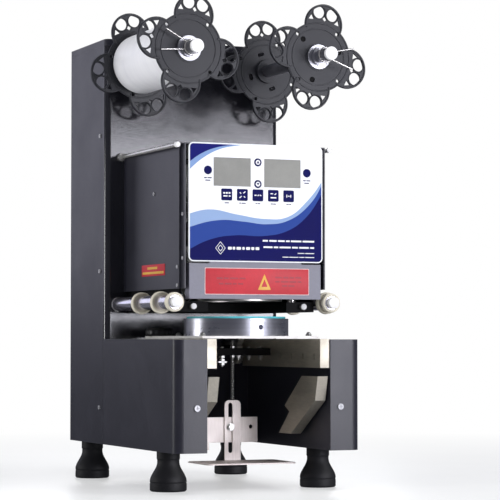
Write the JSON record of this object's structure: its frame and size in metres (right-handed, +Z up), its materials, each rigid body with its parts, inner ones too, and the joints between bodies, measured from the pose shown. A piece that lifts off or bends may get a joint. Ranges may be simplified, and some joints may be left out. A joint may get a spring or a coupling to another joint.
{
  "type": "cup sealing machine",
  "caption": "Bench-top cup sealer: black column and two-legged base, sealing head with key panel, sliding cup mould, film reels on top.",
  "frame": {"origin": "centre of the machine's footprint, on the surface it stands on", "axes": "+Z up, -Y towards the operator, +X to the operator's right"},
  "size_m": [0.3043, 0.3833, 0.5897],
  "materials": {
    "black_metal": "fine textured black paint",
    "front_gloss": "smooth black paint",
    "bare_steel": "brushed",
    "chrome": "polished",
    "zinc": "zinc plated",
    "satin_steel": "satin, a little warm",
    "panel_foil": "satin printed foil",
    "key_navy": "satin",
    "window_grey": "matt grey filter",
    "cover_grey": "satin grey paint",
    "reel_plastic": "moulded black",
    "film_white": "wound film",
    "gasket_teal": "silicone",
    "foot_rubber": "matt",
    "aluminium": "turned",
    "board_green": "solder mask",
    "motor_grey": "cast",
    "black_plastic": "moulded black"
  },
  "bodies": {
    "root": {"base_shell": "black_metal", "column_cover": "black_metal", "column_front_panel": "front_gloss", "top_cover": "black_metal", "inner_frame": "zinc", "rubber_feet": "foot_rubber", "drawer_rails": "satin_steel", "cross_bar": "black_metal", "guide_brackets": "satin_steel", "platform_bracket": "bare_steel", "platform_hardware": "zinc", "head_cover": "black_metal", "control_panel": "panel_foil", "panel_board": "board_green", "display_windows": "window_grey", "lower_cover": "cover_grey", "film_plate": "black_metal", "film_guide_rods": "chrome", "roller_axles": "chrome", "reel_bearings": "motor_grey", "reel_motor": "motor_grey", "press_motor": "motor_grey", "drawer_motor": "motor_grey", "main_board": "board_green", "power_supply": "zinc", "press_columns": "chrome", "power_inlet": "black_plastic", "cover_screws": "zinc"},
    "drawer": {"drawer_plate": "bare_steel", "mould_ring": "chrome", "ring_gasket": "gasket_teal", "drawer_fittings": "black_plastic", "drawer_rack": "zinc"},
    "drawer_gear": {"drawer_pinion": "zinc"},
    "press": {"press_carriage": "zinc", "heater_plate": "aluminium", "cutter_ring": "bare_steel"},
    "press_gear": {"press_pinion": "zinc"},
    "supply_reel": {"supply_shaft": "chrome", "supply_disc_rear": "reel_plastic", "supply_disc_front": "reel_plastic", "supply_clip": "chrome", "film_roll": "film_white"},
    "takeup_reel": {"takeup_shaft": "chrome", "takeup_disc_rear": "reel_plastic", "takeup_disc_front": "reel_plastic", "takeup_clip": "chrome"},
    "left_roller": {"roller_left": "chrome"},
    "right_roller": {"roller_right": "chrome"},
    "platform": {"cup_platform": "bare_steel"},
    "rocker": {"power_rocker": "black_plastic"},
    "key_round_left_body": {"key_round_left": "key_navy"},
    "key_round_right_body": {"key_round_right": "key_navy"},
    "key_up_body": {"key_up": "key_navy"},
    "key_down_body": {"key_down": "key_navy"},
    "key_1_body": {"key_1": "key_navy"},
    "key_2_body": {"key_2": "key_navy"},
    "key_3_body": {"key_3": "key_navy"},
    "key_4_body": {"key_4": "key_navy"},
    "key_5_body": {"key_5": "key_navy"}
  },
  "joints": [
    {"name": "drawer_slide", "type": "slide", "parent": "root", "child": "drawer", "axis": [0, -1, 0], "range_m": [0, 0.11]},
    {"name": "drawer_drive", "type": "hinge", "parent": "root", "child": "drawer_gear", "pos_m": [0.054, 0.036, 0.162], "axis": [1, 0, 0], "range_deg": [0, 530]},
    {"name": "press_slide", "type": "slide", "parent": "root", "child": "press", "axis": [0, 0, -1], "range_m": [0, 0.0185]},
    {"name": "press_drive", "type": "hinge", "parent": "root", "child": "press_gear", "pos_m": [0, -0.027, 0.31], "axis": [1, 0, 0], "range_deg": [0, 90]},
    {"name": "supply_spin", "type": "hinge", "parent": "root", "child": "supply_reel", "pos_m": [-0.087, 0, 0.524], "axis": [0, 1, 0], "continuous": true},
    {"name": "takeup_spin", "type": "hinge", "parent": "root", "child": "takeup_reel", "pos_m": [0.087, 0, 0.524], "axis": [0, 1, 0], "continuous": true},
    {"name": "roller_left_spin", "type": "hinge", "parent": "root", "child": "left_roller", "pos_m": [-0.102, 0, 0.224], "axis": [0, 1, 0], "continuous": true},
    {"name": "roller_right_spin", "type": "hinge", "parent": "root", "child": "right_roller", "pos_m": [0.102, 0, 0.224], "axis": [0, 1, 0], "continuous": true},
    {"name": "platform_slide", "type": "slide", "parent": "root", "child": "platform", "axis": [0, 0, 1], "range_m": [-0.024, 0.024]},
    {"name": "rocker_tilt", "type": "hinge", "parent": "root", "child": "rocker", "pos_m": [-0.0455, 0.186, 0.088], "axis": [1, 0, 0], "range_deg": [-16, 0]},
    {"name": "key_round_left_press", "type": "slide", "parent": "root", "child": "key_round_left_body", "axis": [0, 1, 0], "range_m": [0, 0.0005], "stiffness_N_per_m": 500},
    {"name": "key_round_right_press", "type": "slide", "parent": "root", "child": "key_round_right_body", "axis": [0, 1, 0], "range_m": [0, 0.0005], "stiffness_N_per_m": 500},
    {"name": "key_up_press", "type": "slide", "parent": "root", "child": "key_up_body", "axis": [0, 1, 0], "range_m": [0, 0.0005], "stiffness_N_per_m": 500},
    {"name": "key_down_press", "type": "slide", "parent": "root", "child": "key_down_body", "axis": [0, 1, 0], "range_m": [0, 0.0005], "stiffness_N_per_m": 500},
    {"name": "key_1_press", "type": "slide", "parent": "root", "child": "key_1_body", "axis": [0, 1, 0], "range_m": [0, 0.0005], "stiffness_N_per_m": 500},
    {"name": "key_2_press", "type": "slide", "parent": "root", "child": "key_2_body", "axis": [0, 1, 0], "range_m": [0, 0.0005], "stiffness_N_per_m": 500},
    {"name": "key_3_press", "type": "slide", "parent": "root", "child": "key_3_body", "axis": [0, 1, 0], "range_m": [0, 0.0005], "stiffness_N_per_m": 500},
    {"name": "key_4_press", "type": "slide", "parent": "root", "child": "key_4_body", "axis": [0, 1, 0], "range_m": [0, 0.0005], "stiffness_N_per_m": 500},
    {"name": "key_5_press", "type": "slide", "parent": "root", "child": "key_5_body", "axis": [0, 1, 0], "range_m": [0, 0.0005], "stiffness_N_per_m": 500}
  ],
  "couplings": [
    {"joint": "drawer_drive", "follows": "drawer_slide", "rad_per_m": 83.333},
    {"joint": "press_drive", "follows": "press_slide", "rad_per_m": 83.333}
  ]
}
